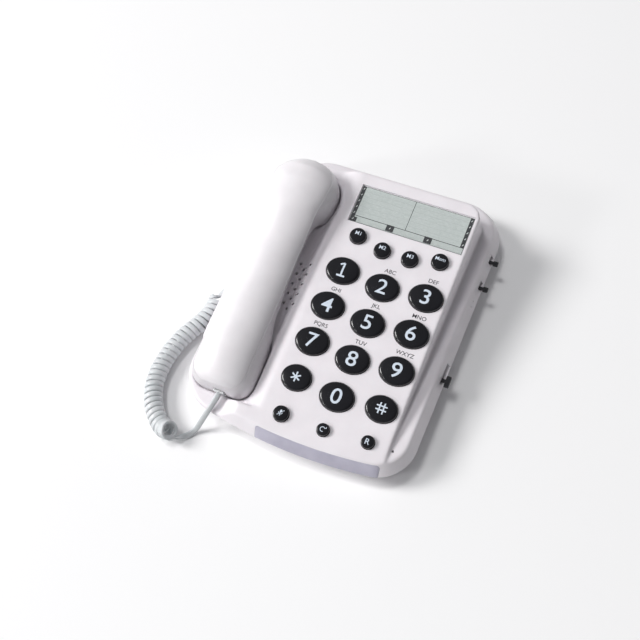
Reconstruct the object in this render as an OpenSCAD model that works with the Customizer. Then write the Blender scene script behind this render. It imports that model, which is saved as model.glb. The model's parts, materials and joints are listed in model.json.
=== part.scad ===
// Corded desk telephone with big keys: wedge base, handset in its cradle, curly handset cord.
// Millimetres, +Z up, X to the right, Y to the back, origin under the middle of the whole object.

/* [Base] */
// Width of the base at its widest line
base_w = 174.5; // [172:0.5:176]
// Depth of the base at its widest line
base_d = 235; // [233:0.5:237]
// Height of the widest line, where the two shells meet
part_z = 16; // [15.5:0.1:16.5]
// Height of the flat shoulder round the key panel
deck_z = 26; // [25.8:0.1:26.2]
// How far the skirt slopes out below the shoulder
skirt = 5.5; // [4.5:0.1:6]
// Height of the rubber feet
foot_h = 3; // [2.5:0.1:3.5]
// Wall thickness of the base shells
wall = 2.5; // [2.2:0.1:2.6]

/* [Key panel] */
// Slope of the key panel, rising to the back
slope = 9; // [8.8:0.1:9.2]
// Sideways pitch of the number keys
pitch_x = 31.2; // [31:0.1:31.4]
// Pitch of the number keys up the panel
pitch_y = 28; // [27.6:0.1:28.4]
// How far the middle column sits below the outer ones
smile = 2.8; // [2:0.1:3.2]
// Width of a number key
key_w = 24.6; // [24:0.1:25]
// Height of a number key
key_h = 20.4; // [20:0.1:21]
// How far the middle of a key stands above the panel
key_rise = 3.4; // [3:0.1:4]
// Travel of every key
key_travel = 1.5; // [1.2:0.1:1.6]

/* [Handset] */
// Width of the handle
handle_w = 39; // [38:0.5:40]
// Width across the ear cup
ear_w = 51; // [50:0.5:51.5]
// Width across the mouth cup
mouth_w = 48; // [47:0.5:48.5]
// Length of the handset
handset_l = 186; // [185:0.5:186.5]

/* [Cord] */
// Outer diameter of the curly part
coil_d = 14; // [13:0.5:14]
// Diameter of the straight part's solid
lead_d = 4; // [3.6:0.1:4.4]

/* [Hidden] */
$fn = 48;

eps = 0.01;
base_cx = -2.5;
base_x0 = base_cx - base_w / 2;
base_x1 = base_cx + base_w / 2;
base_y0 = -base_d / 2;
base_y1 = base_d / 2;
corner_back = 33;
corner_front_left = 34;
corner_front_right = 22;
bow_r = 350;
bow_cx = 5;

// The panel's own frame: x to the right, y up the slope, z out of the panel
panel_at = [23, -30, 38.7];
panel_x0 = -48;
panel_x1 = 46;
panel_y1 = 121;
panel_y0 = -82;
panel_corner = 12;
front_left_x = -63.5;

trough_floor = -10;
trough_foot = -62;
well_gap = 0.6;
deck_left_z = 18.5;

handset_x = -82;
mouth_y = -69.5;
ear_y = mouth_y + handset_l - ear_w / 2;
handset_part = 4;
ear_bottom = -18;
mouth_bottom = -12;
handle_bottom = -2;
shell_t = 2;
socket_x = -79.5;
socket_z = -5;

mat_top = -6.1;
mat_t = 1.2;
board_t = 1.6;
flange = 0.7;
flange_top = -2.8;
flange_t = 1.4;
key_gap = 0.35;

// Each key: name, x and y on the panel, half width, half height
KEYS = concat(
  [for (r = [0:2]) for (c = [0:2])
    [str(1 + 3 * r + c), (c - 1) * pitch_x, (1.5 - r) * pitch_y - (c == 1 ? smile : 0), key_w / 2, key_h / 2]],
  [["star", -pitch_x, -1.5 * pitch_y, key_w * 0.44, key_h * 0.46],
   ["0", 0, -1.5 * pitch_y - smile, key_w / 2, key_h / 2],
   ["hash", pitch_x, -1.5 * pitch_y, key_w * 0.455, key_h * 0.46],
   ["m1", -31, 70.5, 6, 6], ["m2", -10.4, 65.5, 6, 6], ["m3", 10.4, 65.5, 6, 6], ["mem", 31, 70.5, 6, 6],
   ["mute", -31, -69, 5.5, 5.5], ["redial", 0, -69, 4.4, 4.4], ["flash", 31, -66, 4.5, 4.5]]);

// Side controls: y along the wall, and the size of the hole in the wall
side_z = 19;
tone_y = 71.5;
ringer_y = 48;
volume_y = -31;
switch_travel = 3;
volume_travel = 9;

screw_at = [[71.5, -75], [71.5, 60], [-29, -104], [-15, 82]];
board_screw_at = [[-41, 77.5], [41, 77.5], [-15.5, -73], [15.5, -73]];
foot_at = [[-62, -84], [62, -90], [-62, 88], [60, 88]];
jack_y = -13;
jack_z = 9.2;
line_jack_x = 30;

// The cord's route. The coil's middle line runs along the floor and turns up at its front end.
coil_route = [[-98.5, -26, 7], [-98.5, -36, 7], [-101, -46, 7], [-105.5, -56, 7], [-109.4, -67, 7],
  [-111.6, -79, 7], [-112, -91, 7], [-110.4, -102.6, 7], [-106.5, -112.5, 7], [-101.5, -120.4, 7],
  [-94.8, -127.2, 7], [-88.5, -131.6, 7.6], [-83.5, -133.2, 9.6], [-80, -133.4, 13]];
lead_route = [[-76, -134, 11.5], [-74.5, -133.4, 6.5], [-72.5, -131.4, 3], [-69, -127.5, 2.6], [-66, -123.2, 4.6],
  [-63, -119.4, 11], [-60, -115.6, 17.6], [-57.9, -110.6, 21.4], [-56.8, -105, 22.6], [-56.5, -98.9, 22.7]];
tail_route = [[-90.2, jack_y, jack_z], [-92.8, -13.6, 9], [-95.4, -15.4, 8.4], [-97.4, -18.4, 7.7],
  [-98.4, -22, 7.2], [-98.5, -26, 7]];

// ---------- helpers ----------

function arc(c, r, a0, a1, n) = [for (k = [0:n]) c + r * [cos(a0 + (a1 - a0) * k / n), sin(a0 + (a1 - a0) * k / n)]];
function oval(a, b, n = 40) = [for (k = [0:n - 1]) [a * cos(360 * k / n), b * sin(360 * k / n)]];
function unit(v) = v / norm(v);

// Centre of a front corner that runs smoothly into the bowed front edge
function corner_centre(x, r) = [x, base_y0 + bow_r - sqrt(pow(bow_r - r, 2) - pow(x - bow_cx, 2))];

// Outline of the base, pulled in all round
function base_outline(inset) =
  let (cr = corner_centre(base_x1 - corner_front_right, corner_front_right),
       cl = corner_centre(base_x0 + corner_front_left, corner_front_left),
       ar = asin((cr[0] - bow_cx) / (bow_r - corner_front_right)),
       al = asin((cl[0] - bow_cx) / (bow_r - corner_front_left)))
  concat(
    arc([bow_cx, base_y0 + bow_r], bow_r - inset, -90 + al, -90 + ar, 12),
    arc(cr, corner_front_right - inset, -90 + ar + 6, 0, 6),
    arc([base_x1 - corner_back, base_y1 - corner_back], corner_back - inset, 0, 90, 10),
    arc([base_x0 + corner_back, base_y1 - corner_back], corner_back - inset, 90, 180, 10),
    arc(cl, corner_front_left - inset, 180, 270 + al - 6, 8));

// Outline of the key panel, in the panel's frame, pushed out all round
function panel_outline(grow) =
  let (bow = [bow_cx - panel_at[0], panel_y0 + bow_r],
       a_left = asin((front_left_x - grow - bow[0]) / bow_r),
       right = panel_x1 + grow * (grow < 0 ? 0.56 : 1),
       a_right = asin((right - bow[0]) / bow_r))
  concat(
    arc(bow, bow_r + grow, -90 + a_left, -90 + a_right, 10),
    [for (p = arc([panel_x1 - panel_corner, panel_y1 - panel_corner], panel_corner + grow, 0, 90, 6))
      [p[0] + right - panel_x1 - grow, p[1]]],
    arc([base_x0 + 2 - panel_at[0] + 26, panel_y1 - 26], 26 + grow, 90, 180, 8),
    [[base_x0 + 2 - panel_at[0] - grow, panel_y0 + 30], [front_left_x - 14, panel_y0 + 4.5 - grow]]);

module on_panel() translate(panel_at) rotate([slope, 0, 0]) children();

module slab(points, z) translate([0, 0, z]) linear_extrude(eps) polygon(points);

module round_box(x0, x1, y0, y1, r, z0, z1)
  translate([0, 0, z0]) linear_extrude(z1 - z0)
    polygon(concat(arc([x1 - r, y0 + r], r, -90, 0, 6), arc([x1 - r, y1 - r], r, 0, 90, 6),
                   arc([x0 + r, y1 - r], r, 90, 180, 6), arc([x0 + r, y0 + r], r, 180, 270, 6)));

module box(x0, x1, y0, y1, z0, z1) translate([x0, y0, z0]) cube([x1 - x0, y1 - y0, z1 - z0]);

// A tube swept along a route, with flat round ends
module swept_tube(route, d, sides, e0, e1) {
  n = len(route);
  tangent = [for (i = [0:n - 1]) i == 0 ? e0 : i == n - 1 ? e1 : unit(route[i + 1] - route[i - 1])];
  side = [for (i = [0:n - 1]) unit(cross(tangent[i], abs(tangent[i][2]) > 0.9 ? [0, 1, 0] : [0, 0, 1]))];
  up = [for (i = [0:n - 1]) cross(side[i], tangent[i])];
  points = [for (i = [0:n - 1]) for (k = [0:sides - 1])
    route[i] + d / 2 * (cos(360 * k / sides) * side[i] + sin(360 * k / sides) * up[i])];
  faces = concat([[for (k = [0:sides - 1]) k]],
    [for (i = [0:n - 2]) for (k = [0:sides - 1]) let (j = (k + 1) % sides)
      [i * sides + k, (i + 1) * sides + k, (i + 1) * sides + j, i * sides + j]],
    [[for (k = [sides - 1:-1:0]) (n - 1) * sides + k]]);
  polyhedron(points, faces, convexity = 6);
}

// ---------- base shells ----------

// The base above the parting line, pulled in all round by g
module upper_form(g) {
  hull() {
    slab(base_outline(g), g > 0 ? part_z - 4 : part_z);
    slab(base_outline(skirt + g), deck_z - g - eps);
  }
  hull() {
    on_panel() slab(panel_outline(-g), -g);
    slab([for (p = panel_outline(1.6 - g)) [p[0] + panel_at[0], p[1] + panel_at[1] + 13]], part_z + 1);
  }
}

// What the trough and its two wells take out of the base, grown all round by g
module trough_space(g) {
  on_panel() {
    rotate([90, 0, 0]) translate([0, 0, -140]) linear_extrude(140 - panel_y0 - 11 + g)
      polygon(concat([[-140, 40], [-140, trough_floor - g], [trough_foot, trough_floor - g]],
        arc([trough_foot, trough_floor + 8], 8 + g, -75, -42, 4),
        arc([panel_x0 - 1, -7.4], 7.4 - g, 136, 90, 4),
        [[panel_x0 + g, 40]]));
    ear_well(g);
    mouth_well(g);
  }
  // Front left corner, where the cord comes out
  difference() {
    on_panel() rotate([90, 0, 0]) translate([0, 0, -panel_y0 - 12]) linear_extrude(60)
      polygon([[-140, 40], [-140, -24], [front_left_x - 9 + g, -24], [front_left_x - 9 + g, -9],
               [front_left_x - 1, -0.4 - g], [front_left_x + g, 0.2], [front_left_x + g, 40]]);
    box(-160, 0, -180, 0, -40, deck_left_z - g);
  }
}

module ear_well(g)
  translate([handset_x, ear_y, ear_bottom - 1 - g])
    cylinder(r = ear_w / 2 + well_gap + g, h = 40, $fn = 64);

module mouth_well(g)
  round_box(handset_x - mouth_w / 2 - well_gap - g, handset_x + mouth_w / 2 + well_gap + g,
            mouth_y - well_gap - g, mouth_y + 48, 12, mouth_bottom - 1 - g, 30);

module key_hole(k) translate([k[1], k[2], -10]) linear_extrude(20) polygon(oval(k[3] + key_gap, k[4] + key_gap));

module speaker_holes()
  for (c = [0:3]) for (r = [0:4])
    translate([-69.6 + 4.3 * c, 4.5 + 8 * r + (c % 2 == 0 ? 0 : 4), -20]) cylinder(r = 0.8, h = 24, $fn = 16);

module side_slots(grow = 0) {
  box(74, 92, tone_y - 2, tone_y + 2 + switch_travel, side_z - 1.9, side_z + 1.9);
  box(74, 92, ringer_y - 2, ringer_y + 2 + switch_travel, side_z - 1.9, side_z + 1.9);
  box(74, 92, volume_y - 3.6, volume_y + 3.6 + volume_travel, side_z - 1.9, side_z + 1.9);
  for (y = [30, 35]) translate([74, y, side_z + 1.4]) rotate([0, 90, 0]) cylinder(r = 0.6, h = 16, $fn = 16);
}

module light_zone(g) box(-21.5 - g, 67 + g, -125, -104.5 + g, part_z - 1, deck_z - 1 + g);

module hook_hole(g) on_panel() translate([handset_x, 50, -20]) cylinder(r = 4.2 + g, h = 24, $fn = 32);

module top_shell() color("whitesmoke") {
  difference() {
    union() {
      upper_form(0);
      intersection() {
        on_panel() mouth_well(wall);
        hull() {
          slab(base_outline(5.2 + wall), foot_h + 2.2);
          slab(base_outline(1 + wall), part_z + 1);
        }
      }
    }
    trough_space(0);
    difference() {
      upper_form(wall);
      trough_space(wall);
    }
    on_panel() {
      for (k = KEYS) key_hole(k);
      box(-43.4, 43.4, 80.6, 111.4, -1.2, 5);
      speaker_holes();
    }
    side_slots();
    light_zone(0.1);
    hook_hole(0);
    translate([71, -94, 10]) cylinder(r = 0.9, h = 30, $fn = 24);
  }
  for (p = screw_at) screw_post(p);
  on_panel() for (p = board_screw_at) translate([p[0], p[1], mat_top - mat_t]) difference() {
    cylinder(r = 2.6, h = 5.2);
    translate([0, 0, -1]) cylinder(r = 0.85, h = 5);
  }
}

// A post that the case screw bites into; its top is buried in the shell above it
module screw_post(p) {
  roof = p[0] > 50 ? deck_z - 1 : panel_at[2] + (p[1] - panel_at[1]) * tan(slope) - 2;
  translate([p[0], p[1], part_z - 1]) difference() {
    cylinder(r = 3.4, h = roof - part_z + 1);
    translate([0, 0, -1]) cylinder(r = 1.45, h = 8);
  }
}

// The floor and the leaning wall of the bottom shell
module tray() difference() {
  hull() {
    slab(base_outline(5), foot_h);
    slab(base_outline(0.8), part_z - 0.2);
  }
  hull() {
    slab(base_outline(5 + wall), foot_h + 2.2);
    slab(base_outline(0.8 + wall), part_z);
  }
}

module bottom_shell() color("whitesmoke") {
  difference() {
    tray();
    for (p = screw_at) translate([p[0], p[1], 0]) {
      cylinder(r = 3.2, h = foot_h + 1.2);
      cylinder(r = 1.7, h = 20);
    }
    box(-95, -80, jack_y - 4.2, jack_y + 4.2, jack_z - 3.7, jack_z + 3.7);
    box(line_jack_x - 12, line_jack_x + 12, 100, 125, foot_h + 2.2, 20);
  }
  for (p = screw_at) translate([p[0], p[1], 0]) difference() {
    translate([0, 0, foot_h + 1.2]) cylinder(r = 4.2, h = part_z - 1 - foot_h - 1.2);
    cylinder(r = 1.7, h = 20);
  }
  // Shelves that carry the side controls
  for (y = [tone_y + 1.5, ringer_y + 1.5, volume_y + 4.5]) box(67, 76.5, y - 5, y + 5, foot_h + 2, part_z);
}

// ---------- base parts ----------

module light_strip() color("lavender") intersection() {
  difference() {
    hull() {
      slab(base_outline(0), part_z);
      slab(base_outline(skirt), deck_z - eps);
    }
    hull() {
      slab(base_outline(2.3), part_z - 1);
      slab(base_outline(skirt + 2.6), deck_z - eps);
    }
  }
  light_zone(0);
}

module light_board() color("seagreen") box(-16, 60, -106, -104.8, 9, 17.2);

module call_lamps() color("gold")
  for (k = [0:4]) translate([-10 + 16 * k, -106, 14.8]) rotate([90, 0, 0]) {
    cylinder(r = 1.9, h = 1);
    cylinder(r = 1.5, h = 3.2);
  }

module window_cover() color("aliceblue") on_panel() box(-43.2, 43.2, 80.8, 111.2, -0.9, -0.1);

module index_card() color("honeydew") on_panel() box(-42.8, 42.8, 81.2, 110.8, -1.2, -0.9);

module key_mat() color("dimgray") on_panel() {
  box(-44, 43, -62, 73.5, mat_top - mat_t, mat_top);
  for (x = [-31, 0, 31]) box(x - 9, x + 9, -75.5, -60, mat_top - mat_t, mat_top);
  for (k = KEYS) translate([k[1], k[2], mat_top - eps])
    cylinder(r = k[3] > 8 ? 4 : 2, h = 2, $fn = 24);
}

module main_board() color("seagreen") on_panel() difference() {
  box(-44, 43, -76.5, 79.5, mat_top - mat_t - board_t, mat_top - mat_t);
  for (p = board_screw_at) translate([p[0], p[1], -20]) cylinder(r = 1.3, h = 20, $fn = 24);
}

module board_screws() color("silver") on_panel() for (p = board_screw_at)
  translate([p[0], p[1], mat_top - mat_t - board_t - 1.4]) {
    cylinder(r = 2.2, h = 1.4);
    cylinder(r = 0.8, h = 6);
  }

module ballast_plate() color("gray") box(-44, 56, -40, 40, foot_h + 2.2, foot_h + 5);

module loudspeaker() color("black") on_panel() translate([-66, 20.5, 0]) {
  translate([0, 0, -14.4]) cylinder(r = 17.5, h = 1.6);
  translate([0, 0, -17.4]) cylinder(r1 = 10, r2 = 16, h = 3);
}

module speaker_magnet() color("silver") on_panel() translate([-66, 20.5, -23.4]) cylinder(r = 10, h = 6);

module base_microphone() color("black") translate([71, -94, deck_z - wall - 2.6]) cylinder(r = 3, h = 2.4);

module handset_jack() color("black") difference() {
  box(-82, -70, jack_y - 6.5, jack_y + 6.5, foot_h + 2.2, 15.2);
  box(-90, -78.2, jack_y - 3.95, jack_y + 3.95, jack_z - 3.4, jack_z + 3.4);
}

module base_plug() color("gainsboro") box(-90.2, -78.6, jack_y - 3.85, jack_y + 3.85, jack_z - 3.3, jack_z + 3.3);

module line_jack() color("black") difference() {
  box(line_jack_x - 7, line_jack_x + 7, 94, 109.7, foot_h + 2.2, 15.2);
  box(line_jack_x - 4.9, line_jack_x + 4.9, 97, 112, 6.4, 12.6);
}

// The piece of the back wall that the line jack looks through
module line_jack_frame() color("whitesmoke") difference() {
  intersection() {
    tray();
    box(line_jack_x - 11.95, line_jack_x + 11.95, 100, 125, foot_h + 2.25, 20);
  }
  box(line_jack_x - 5, line_jack_x + 5, 104, 125, 6, 13);
}

module hook_switch() color("black") on_panel() difference() {
  box(handset_x - 7, handset_x + 7, 46, 54, -29, -25);
  translate([handset_x, 50, -26]) cylinder(r = 2, h = 4);
}

module hook_spring() color("silver") on_panel() translate([handset_x, 50, -25])
  difference() {
    cylinder(r = 3.1, h = 6.8);
    translate([0, 0, -1]) cylinder(r = 2.3, h = 9);
  }

module hook_plunger() color("whitesmoke") on_panel() translate([handset_x, 50, 0]) {
  translate([0, 0, -18]) cylinder(r = 3.8, h = 15.7);
  translate([0, 0, -18.2]) cylinder(r = 5.6, h = 1.2);
}

module switch_bodies() color("black")
  for (y = [tone_y + 1.5, ringer_y + 1.5]) box(68, 76.5, y - 4.6, y + 4.6, part_z, 22.8);

module volume_control() color("black") box(68, 76.5, volume_y - 5, volume_y + 14, part_z, 22.8);

module side_knob(y, half, tip) {
  box(77, 84, y - half, y + half, side_z - 1.6, side_z + 1.6);
  box(76.7, 77.6, y - half - 0.6, y + half + 0.6, side_z - 2.2, side_z + 2.2);
  translate([84, y, side_z]) rotate([0, 90, 0]) cylinder(r = half, h = tip - 84, $fn = 32);
}

module tone_switch() color("black") side_knob(tone_y, 1.7, base_x1 + 5);

module ringer_switch() color("black") side_knob(ringer_y, 1.7, base_x1 + 5);

module volume_slider() color("black") {
  box(77, 85, volume_y - 3.2, volume_y + 3.2, side_z - 1.6, side_z + 1.6);
  box(76.7, 77.6, volume_y - 4, volume_y + 4, side_z - 2.2, side_z + 2.2);
  round_side();
}

module round_side() translate([84.9, volume_y, side_z]) rotate([90, 0, 90])
  round_box(-4.2, 4.2, -2.3, 2.3, 1.5, 0, 3.6);

module feet() color("dimgray") for (p = foot_at) translate([p[0], p[1], 0]) cylinder(r = 7.5, h = foot_h);

module case_screws() color("silver") for (p = screw_at) translate([p[0], p[1], 0]) {
  translate([0, 0, foot_h + 0.1]) cylinder(r = 2.9, h = 1.1);
  translate([0, 0, foot_h + 0.1]) cylinder(r = 1.4, h = 15);
}

// ---------- keys ----------

module key_cap(k) color("black") on_panel() translate([k[1], k[2], 0]) {
  big = k[3] > 8;
  dome_r = (pow(k[3], 2) + pow(big ? 1.5 : 0.8, 2)) / (big ? 3 : 1.6);
  difference() {
    intersection() {
      translate([0, 0, flange_top - flange_t]) linear_extrude(12) polygon(oval(k[3], k[4]));
      translate([0, 0, key_rise - dome_r]) sphere(r = dome_r, $fn = 96);
    }
    translate([0, 0, flange_top - flange_t - 1]) cylinder(r = big ? 5 : 2.8, h = 5);
  }
  difference() {
    translate([0, 0, flange_top - flange_t]) linear_extrude(flange_t) polygon(oval(k[3] + flange, k[4] + flange));
    translate([0, 0, flange_top - flange_t - 1]) cylinder(r = big ? 5 : 2.8, h = 4);
  }
}

module key_1() key_cap(KEYS[0]);
module key_2() key_cap(KEYS[1]);
module key_3() key_cap(KEYS[2]);
module key_4() key_cap(KEYS[3]);
module key_5() key_cap(KEYS[4]);
module key_6() key_cap(KEYS[5]);
module key_7() key_cap(KEYS[6]);
module key_8() key_cap(KEYS[7]);
module key_9() key_cap(KEYS[8]);
module key_star() key_cap(KEYS[9]);
module key_0() key_cap(KEYS[10]);
module key_hash() key_cap(KEYS[11]);
module key_m1() key_cap(KEYS[12]);
module key_m2() key_cap(KEYS[13]);
module key_m3() key_cap(KEYS[14]);
module key_mem() key_cap(KEYS[15]);
module key_mute() key_cap(KEYS[16]);
module key_redial() key_cap(KEYS[17]);
module key_flash() key_cap(KEYS[18]);

// ---------- handset ----------

module at_handset(y) translate([handset_x, y, 0]) children();

function round_rect(w, l, r) = concat(arc([w / 2 - r, r], r, -90, 0, 6), arc([w / 2 - r, l - r], r, 0, 90, 6),
  arc([r - w / 2, l - r], r, 90, 180, 6), arc([r - w / 2, r], r, 180, 270, 6));
function disc(r, y) = arc([0, y], r, 0, 345, 23);
function moved(points, dy, inset, w, l) = [for (p = points) [p[0] * (w - 2 * inset) / w, p[1] * (l - 2 * inset) / l + dy + inset]];

// The domed back of the handset, pulled in all round by g; it is higher at the ear than at the mouth
module handset_dome(g) on_panel() translate([handset_x, 0, 0]) {
  mouth = round_rect(mouth_w, 52, 15);
  handle = round_rect(handle_w, 130, 10);
  hull() {
    slab(moved(mouth, mouth_y, g, mouth_w, 52), handset_part - (g > 0 ? 1 : 0));
    slab(moved(mouth, mouth_y, g + 1, mouth_w, 52), 9);
    slab(moved(mouth, mouth_y, g + 7, mouth_w, 52), 16 - g);
  }
  hull() {
    slab(moved(handle, -45, g, handle_w, 130), handset_part - (g > 0 ? 1 : 0));
    rotate([3, 0, 0]) slab(moved(handle, -45, g, handle_w, 130), 10.5);
    rotate([3, 0, 0]) slab(moved(handle, -45, g + 8, handle_w, 130), 18.5 - g);
  }
  hull() {
    slab(disc(ear_w / 2 - g, ear_y), handset_part - (g > 0 ? 1 : 0));
    slab(disc(ear_w / 2 - g - 1.5, ear_y), 13);
    slab(disc(ear_w / 2 - g - 11, ear_y - 3), 24 - g);
  }
}

module handset_outer_shell() color("white") difference() {
  handset_dome(0);
  handset_dome(shell_t);
}

module handset_inner_form(g) on_panel() {
  translate([handset_x, ear_y, ear_bottom + g]) cylinder(r = ear_w / 2 - g, h = handset_part - ear_bottom, $fn = 64);
  round_box(handset_x - mouth_w / 2 + g, handset_x + mouth_w / 2 - g, mouth_y + g, mouth_y + 45 - g, 11,
            mouth_bottom + g, handset_part + g);
  round_box(handset_x - handle_w / 2 + g, handset_x + handle_w / 2 - g, mouth_y + 20, ear_y, 6,
            handle_bottom + g, handset_part + g);
}

module handset_inner_shell() color("white") difference() {
  handset_inner_form(0);
  handset_inner_form(shell_t);
  on_panel() {
    at_handset(ear_y) for (a = [0:60:300]) rotate(a) translate([6, 0, ear_bottom - 1]) cylinder(r = 1, h = 6, $fn = 16);
    at_handset(ear_y) translate([0, 0, ear_bottom - 1]) cylinder(r = 1, h = 6, $fn = 16);
    at_handset(mouth_y + 22) for (x = [-4, 0, 4]) translate([x, 0, mouth_bottom - 1]) cylinder(r = 1, h = 6, $fn = 16);
    box(socket_x - 4.4, socket_x + 4.4, mouth_y - 5, mouth_y + 5, socket_z - 3.7, socket_z + 3.7);
    at_handset(24) for (y = [-16, 16]) translate([0, y, handle_bottom - 1]) cylinder(r = 1.7, h = 6, $fn = 24);
  }
}

module ear_receiver() color("dimgray") on_panel() at_handset(ear_y) translate([0, 0, ear_bottom + shell_t + 0.2]) {
  cylinder(r = 15, h = 5);
  translate([0, 0, 5]) cylinder(r = 8, h = 3);
}

module mouth_microphone() color("dimgray") on_panel() at_handset(mouth_y + 22)
  translate([0, 0, mouth_bottom + shell_t + 0.2]) cylinder(r = 5, h = 4);

module handset_weight() color("gray") on_panel() box(handset_x - 9, handset_x + 9, 12, 36, handle_bottom + shell_t + 0.1, 4);

module handset_socket() color("black") on_panel() difference() {
  box(socket_x - 6, socket_x + 6, mouth_y + shell_t + 0.1, mouth_y + 15, socket_z - 4.6, socket_z + 4.6);
  box(socket_x - 3.95, socket_x + 3.95, mouth_y - 1, mouth_y + 11.2, socket_z - 3.4, socket_z + 3.4);
}

module handset_plug() color("gainsboro") on_panel()
  box(socket_x - 3.85, socket_x + 3.85, mouth_y - 1, mouth_y + 10.8, socket_z - 3.3, socket_z + 3.3);

module handset_screws() color("silver") on_panel() at_handset(24) for (y = [-16, 16]) translate([0, y, handle_bottom + 0.3]) {
  cylinder(r = 1.4, h = 12);
}

// ---------- cord ----------

module cord_coil() color("lightgray") swept_tube(coil_route, coil_d, 12, [0, -1, 0], unit([0.6, -0.1, 0.8]));

module cord_lead() color("lightgray") swept_tube(lead_route, lead_d, 8, unit([0.3, 0.2, -0.9]),
  [0, cos(slope), sin(slope)]);

module cord_tail() color("lightgray") swept_tube(tail_route, lead_d, 8, [-1, 0, 0], [0, -1, 0]);

bottom_shell();
top_shell();
light_strip();
light_board();
call_lamps();
window_cover();
index_card();
key_mat();
main_board();
ballast_plate();
loudspeaker();
speaker_magnet();
base_microphone();
handset_jack();
line_jack();
line_jack_frame();
hook_switch();
hook_spring();
switch_bodies();
volume_control();
feet();
case_screws();
board_screws();
hook_plunger();
tone_switch();
ringer_switch();
volume_slider();
handset_outer_shell();
handset_inner_shell();
ear_receiver();
mouth_microphone();
handset_weight();
handset_socket();
handset_screws();
handset_plug();
base_plug();
cord_coil();
cord_lead();
cord_tail();
key_1();
key_2();
key_3();
key_4();
key_5();
key_6();
key_7();
key_8();
key_9();
key_star();
key_0();
key_hash();
key_m1();
key_m2();
key_m3();
key_mem();
key_mute();
key_redial();
key_flash();
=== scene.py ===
import json
from math import cos, pi, radians, sin, sqrt

import bmesh
import bpy
from mathutils import Matrix, Vector


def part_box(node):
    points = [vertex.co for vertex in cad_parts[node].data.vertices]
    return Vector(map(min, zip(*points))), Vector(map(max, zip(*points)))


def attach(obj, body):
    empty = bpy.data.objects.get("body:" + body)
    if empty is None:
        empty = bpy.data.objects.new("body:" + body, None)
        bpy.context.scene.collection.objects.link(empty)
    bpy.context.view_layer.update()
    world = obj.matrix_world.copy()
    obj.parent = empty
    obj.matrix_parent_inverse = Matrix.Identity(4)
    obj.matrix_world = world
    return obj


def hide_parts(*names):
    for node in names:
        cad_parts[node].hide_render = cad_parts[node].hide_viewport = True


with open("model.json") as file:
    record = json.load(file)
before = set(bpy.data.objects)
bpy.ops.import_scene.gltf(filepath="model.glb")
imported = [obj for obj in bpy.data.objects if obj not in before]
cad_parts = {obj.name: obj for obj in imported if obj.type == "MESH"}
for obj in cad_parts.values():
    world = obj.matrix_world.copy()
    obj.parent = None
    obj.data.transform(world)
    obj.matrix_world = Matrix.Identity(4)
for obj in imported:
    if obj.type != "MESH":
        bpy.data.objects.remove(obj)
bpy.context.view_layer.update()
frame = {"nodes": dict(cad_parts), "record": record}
scene = bpy.context.scene
mm = 0.001

# the sloping key panel's own axes: x right, y up the slope, z out of the panel
panelPlace = Matrix.Translation((0.023, -0.030, 0.0387)) @ Matrix.Rotation(radians(9), 4, "X")


def addPiece(name, bm, body, material, sharp=35, place=None):
    if place is not None:
        bmesh.ops.transform(bm, matrix=place, verts=bm.verts)
    bmesh.ops.recalc_face_normals(bm, faces=bm.faces)
    mesh = bpy.data.meshes.new(name)
    bm.to_mesh(mesh)
    bm.free()
    mesh.materials.append(material)
    mesh.shade_smooth()
    mesh.set_sharp_from_angle(angle=radians(sharp))
    piece = bpy.data.objects.new(name, mesh)
    scene.collection.objects.link(piece)
    if body:
        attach(piece, body)
    return piece


def applyModifiers(piece, sharp=None):
    graph = bpy.context.evaluated_depsgraph_get()
    made = bpy.data.meshes.new_from_object(piece.evaluated_get(graph))
    piece.modifiers.clear()
    piece.data = made
    if sharp is not None:
        made.shade_smooth()
        made.set_sharp_from_angle(angle=radians(sharp))


def toolObject(bm, place=None):
    return addPiece("tool", bm, None, finishes["shell"], place=place)


def combine(piece, tools, operation="DIFFERENCE"):
    for tool in tools:
        step = piece.modifiers.new("combine", "BOOLEAN")
        step.operation = operation
        step.solver = "MANIFOLD"
        step.object = tool
    applyModifiers(piece)
    for tool in tools:
        bpy.data.objects.remove(tool)


def boxMesh(low, high, bm=None):
    bm = bm or bmesh.new()
    size = Vector(high) - Vector(low)
    place = Matrix.Translation((Vector(low) + Vector(high)) / 2) @ Matrix.Diagonal((*size, 1))
    bmesh.ops.create_cube(bm, size=1, matrix=place)
    return bm


def discMesh(centre, radius, z0, z1, segments=48, oval=1.0, bm=None):
    bm = bm or bmesh.new()
    place = Matrix.Translation((centre[0], centre[1], (z0 + z1) / 2)) @ Matrix.Diagonal((1, oval, 1, 1))
    bmesh.ops.create_cone(bm, cap_ends=True, segments=segments, radius1=radius, radius2=radius,
                          depth=z1 - z0, matrix=place)
    return bm


def newFinish(name):
    material = bpy.data.materials.new(name)
    material.use_nodes = True
    nodes, links = material.node_tree.nodes, material.node_tree.links
    return material, nodes, links, nodes["Principled BSDF"]


def speckle(nodes, links, scale, detail=3.0, stretch=(1, 1, 1)):
    where = nodes.new("ShaderNodeTexCoord")
    mapping = nodes.new("ShaderNodeMapping")
    mapping.inputs["Scale"].default_value = stretch
    noise = nodes.new("ShaderNodeTexNoise")
    noise.inputs["Scale"].default_value = scale
    noise.inputs["Detail"].default_value = detail
    links.new(where.outputs["Object"], mapping.inputs["Vector"])
    links.new(mapping.outputs["Vector"], noise.inputs["Vector"])
    return noise


def tintBetween(nodes, links, factor, dark, light, target, low=0.35, high=0.65):
    ramp = nodes.new("ShaderNodeValToRGB")
    ramp.color_ramp.elements[0].position = low
    ramp.color_ramp.elements[1].position = high
    ramp.color_ramp.elements[0].color = (*dark, 1)
    ramp.color_ramp.elements[1].color = (*light, 1)
    links.new(factor, ramp.inputs["Fac"])
    links.new(ramp.outputs["Color"], target)
    return ramp


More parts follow.
